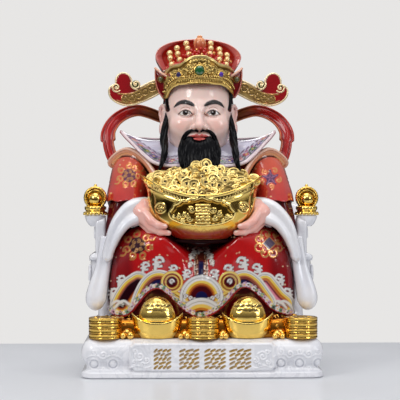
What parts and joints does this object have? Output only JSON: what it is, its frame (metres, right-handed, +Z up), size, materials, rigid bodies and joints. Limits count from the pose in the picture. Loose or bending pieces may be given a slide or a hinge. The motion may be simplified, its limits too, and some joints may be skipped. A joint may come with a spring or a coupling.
{
  "type": "seated deity statue",
  "caption": "Glazed porcelain wealth-god figure seated on a throne, holding an ingot-shaped gold bowl of coins, on a moulded white plinth.",
  "frame": {"origin": "centre of the plinth's underside, where it stands", "axes": "+X to the viewer's right seen from the front, +Y towards the back, +Z up; the figure faces -Y"},
  "size_m": [0.2716, 0.19, 0.3885],
  "materials": {
    "white_glaze": "glossy white porcelain glaze",
    "red_glaze": "glossy red enamel over porcelain, with painted waves and medallions",
    "skin_glaze": "satin pale pink porcelain",
    "black_glaze": "glossy black enamel",
    "bright_gilt": "mirror gold plating",
    "antique_gilt": "satin antique gold",
    "gem": "polished green and purple gems",
    "pearl": "pearly beads"
  },
  "bodies": {
    "root": {"plinth": "white_glaze", "throne": "white_glaze", "figure": "red_glaze", "hat_wing_left": "antique_gilt", "hat_wing_right": "antique_gilt", "sash": "red_glaze", "bowl": "bright_gilt", "coin_heap": "bright_gilt", "finial_left": "bright_gilt", "finial_right": "bright_gilt", "treasure_bed": "bright_gilt", "ingot_left": "bright_gilt", "ingot_right": "bright_gilt", "coin_stack_left": "bright_gilt", "coin_stack_middle": "bright_gilt", "coin_stack_right": "bright_gilt"}
  },
  "joints": []
}
